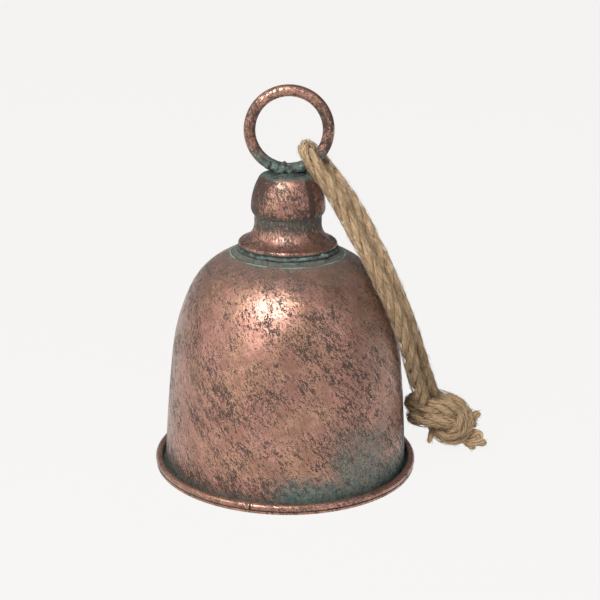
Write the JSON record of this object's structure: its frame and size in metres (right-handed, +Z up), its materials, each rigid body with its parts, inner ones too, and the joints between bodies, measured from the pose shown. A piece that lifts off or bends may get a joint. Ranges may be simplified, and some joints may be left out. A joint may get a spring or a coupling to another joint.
{
  "type": "bell",
  "caption": "Copper-toned sheet metal bell with a turned neck, welded hanging ring, free-swinging clapper and a knotted jute rope.",
  "frame": {"origin": "on the bell's axis in the plane of the mouth, where the bell stands", "axes": "+Z up along the bell's axis, -Y towards the front, +X towards the side the rope leans on; the hanging ring lies in the XZ plane"},
  "size_m": [0.1812, 0.14, 0.2032],
  "materials": {
    "bell_copper": "antique copper over sheet steel, satin and speckled with dark brown, verdigris in the crevices",
    "ring_copper": "antique copper over steel wire, rubbed bright along the top",
    "weld_verdigris": "rough weld metal and spelter under dull blue-green verdigris",
    "dark_iron": "dark brown oxide, dull",
    "ball_iron": "rough cast, dark brown",
    "jute": "coarse laid jute yarns with loose fibres"
  },
  "bodies": {
    "bell": {"bell_shell": "bell_copper", "rim_hoop": "bell_copper", "neck_skirt": "bell_copper", "neck_bulb": "bell_copper", "skirt_solder": "weld_verdigris", "cap_plate": "weld_verdigris", "hanging_ring": "ring_copper", "ring_weld": "weld_verdigris", "tie_stud": "dark_iron", "crown_washer": "dark_iron", "lock_washer": "dark_iron", "tie_nut": "dark_iron", "clapper_eye": "dark_iron"},
    "link": {"clapper_link": "dark_iron"},
    "clapper": {"clapper_rod": "dark_iron", "clapper_ball": "ball_iron", "clapper_nuts": "dark_iron"},
    "rope": {"rope_loop": "jute", "rope_knot": "jute", "rope_end_upper": "jute", "rope_end_frayed": "jute", "rope_end_yarn": "jute"}
  },
  "joints": [
    {"name": "clapper_swing", "type": "hinge", "parent": "bell", "child": "link", "pos_m": [0, 0, 0.09989], "axis": [0, 1, 0], "range_deg": [-39, 39]},
    {"name": "clapper_rock", "type": "hinge", "parent": "link", "child": "clapper", "pos_m": [0, 0, 0.08524], "axis": [1, 0, 0], "range_deg": [-8, 8]},
    {"name": "rope_turn", "type": "hinge", "parent": "bell", "child": "rope", "pos_m": [0, 0, 0.1802], "axis": [0, -1, 0], "range_deg": [0, 141]}
  ]
}
